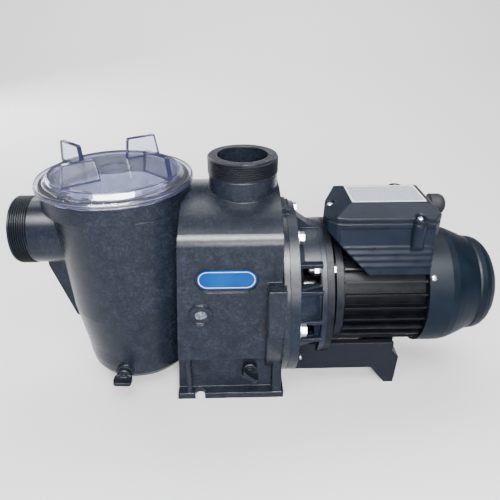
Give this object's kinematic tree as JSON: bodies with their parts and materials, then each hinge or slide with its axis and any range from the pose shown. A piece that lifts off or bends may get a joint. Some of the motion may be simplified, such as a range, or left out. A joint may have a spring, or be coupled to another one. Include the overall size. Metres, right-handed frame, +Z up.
{
  "type": "pool pump",
  "caption": "Electric swimming pool pump: strainer pot under a clear winged lid, volute casing with threaded ports, open bracket and fan-cooled motor on a cradle.",
  "frame": {"origin": "on the floor plane under the axis of the discharge port, in the pump's centre plane", "axes": "+X along the shaft from the strainer to the motor, +Y to the back (the badge faces -Y), +Z up along the discharge port"},
  "size_m": [0.5424, 0.2, 0.2735],
  "materials": {
    "strainer_pot": "satin black glass-filled moulding",
    "suction_collar": "satin black glass-filled moulding",
    "volute_casing": "satin black glass-filled moulding",
    "strainer_lid": "clear smoky moulding",
    "lid_seal": "matte black",
    "strainer_basket": "pale satin moulding",
    "pot_drain_plug": "satin black",
    "pot_drain_seal": "matte black",
    "volute_drain_plug": "satin black",
    "volute_drain_seal": "matte black",
    "badge_plate": "gloss blue, bare",
    "diffuser": "satin dark grey",
    "impeller": "satin dark grey",
    "impeller_screw": "stainless",
    "seal_seat": null,
    "seal_head": "carbon",
    "seal_boot": "matte black",
    "water_slinger": "matte black",
    "bracket": "satin black moulding",
    "casing_gasket": "matte black",
    "flange_bolts": "stainless",
    "flange_washers": "stainless",
    "motor_bolts": "stainless",
    "motor_nuts": "stainless",
    "motor_shaft": "ground steel",
    "rotor_core": "laminated steel",
    "front_bearing": "bearing steel",
    "rear_bearing": "bearing steel",
    "stator_core": "laminated steel",
    "stator_windings": "varnished copper wire",
    "motor_housing": "black painted aluminium",
    "front_end_shield": "dark grey painted casting",
    "rear_end_shield": "dark grey painted casting",
    "cooling_fan": "satin black",
    "fan_clip": "spring steel",
    "fan_cowl": "satin dark blue-grey",
    "cowl_screws": "zinc plated",
    "terminal_box_base": "satin dark blue-grey",
    "box_gasket": "matte black",
    "terminal_box_lid": "satin dark blue-grey",
    "box_screws": "stainless",
    "rating_label": "bare silver foil",
    "cable_gland": "satin black",
    "gland_nut": "satin black",
    "capacitor": "plain can",
    "terminal_block": "cream moulding with brass posts",
    "motor_cradle": "satin dark grey moulding",
    "cradle_screws": "zinc plated",
    "tie_screws": "zinc plated"
  },
  "bodies": {
    "pump": {"strainer_pot": "strainer_pot", "suction_collar": "suction_collar", "volute_casing": "volute_casing", "badge_plate": "badge_plate", "diffuser": "diffuser", "seal_seat": "seal_seat", "bracket": "bracket", "casing_gasket": "casing_gasket", "flange_bolts": "flange_bolts", "flange_washers": "flange_washers", "motor_bolts": "motor_bolts", "motor_nuts": "motor_nuts", "front_bearing": "front_bearing", "rear_bearing": "rear_bearing", "stator_core": "stator_core", "stator_windings": "stator_windings", "motor_housing": "motor_housing", "front_end_shield": "front_end_shield", "rear_end_shield": "rear_end_shield", "fan_cowl": "fan_cowl", "cowl_screws": "cowl_screws", "terminal_box_base": "terminal_box_base", "box_gasket": "box_gasket", "terminal_box_lid": "terminal_box_lid", "box_screws": "box_screws", "rating_label": "rating_label", "cable_gland": "cable_gland", "gland_nut": "gland_nut", "capacitor": "capacitor", "terminal_block": "terminal_block", "motor_cradle": "motor_cradle", "cradle_screws": "cradle_screws", "tie_screws": "tie_screws"},
    "rotor": {"motor_shaft": "motor_shaft", "rotor_core": "rotor_core", "cooling_fan": "cooling_fan", "fan_clip": "fan_clip", "impeller": "impeller", "impeller_screw": "impeller_screw", "seal_head": "seal_head", "seal_boot": "seal_boot", "water_slinger": "water_slinger"},
    "basket": {"strainer_basket": "strainer_basket"},
    "lid_ring": {"lid_seal": "lid_seal"},
    "lid": {"strainer_lid": "strainer_lid"},
    "pot_washer": {"pot_drain_seal": "pot_drain_seal"},
    "pot_plug": {"pot_drain_plug": "pot_drain_plug"},
    "casing_washer": {"volute_drain_seal": "volute_drain_seal"},
    "casing_plug": {"volute_drain_plug": "volute_drain_plug"}
  },
  "joints": [
    {"name": "shaft_spin", "type": "hinge", "parent": "pump", "child": "rotor", "pos_m": [0.1, 0, 0.105], "axis": [1, 0, 0], "continuous": true},
    {"name": "lid_lift", "type": "slide", "parent": "pump", "child": "lid_ring", "axis": [0, 0, 1], "range_m": [0, 0.0121]},
    {"name": "lid_turn", "type": "hinge", "parent": "lid_ring", "child": "lid", "pos_m": [-0.1359, 0, 0.245], "axis": [0, 0, 1], "range_deg": [0, 360]},
    {"name": "basket_lift", "type": "slide", "parent": "pump", "child": "basket", "axis": [0, 0, 1], "range_m": [0, 0.0101]},
    {"name": "pot_plug_slide", "type": "slide", "parent": "pump", "child": "pot_washer", "axis": [0, -1, 0], "range_m": [0, 0.0081]},
    {"name": "pot_plug_turn", "type": "hinge", "parent": "pot_washer", "child": "pot_plug", "pos_m": [-0.1385, -0.066, 0.028], "axis": [0, -1, 0], "range_deg": [0, 1440]},
    {"name": "casing_plug_slide", "type": "slide", "parent": "pump", "child": "casing_washer", "axis": [0, -1, 0], "range_m": [0, 0.0081]},
    {"name": "casing_plug_turn", "type": "hinge", "parent": "casing_washer", "child": "casing_plug", "pos_m": [0.0055, -0.07, 0.037], "axis": [0, -1, 0], "range_deg": [0, 1440]}
  ],
  "couplings": [
    {"joint": "lid_lift", "follows": "lid_turn", "m_per_rad": 0.0019099},
    {"joint": "basket_lift", "follows": "lid_turn", "m_per_rad": 0.0015915},
    {"joint": "pot_plug_slide", "follows": "pot_plug_turn", "m_per_rad": 0.00031831},
    {"joint": "casing_plug_slide", "follows": "casing_plug_turn", "m_per_rad": 0.00031831}
  ]
}
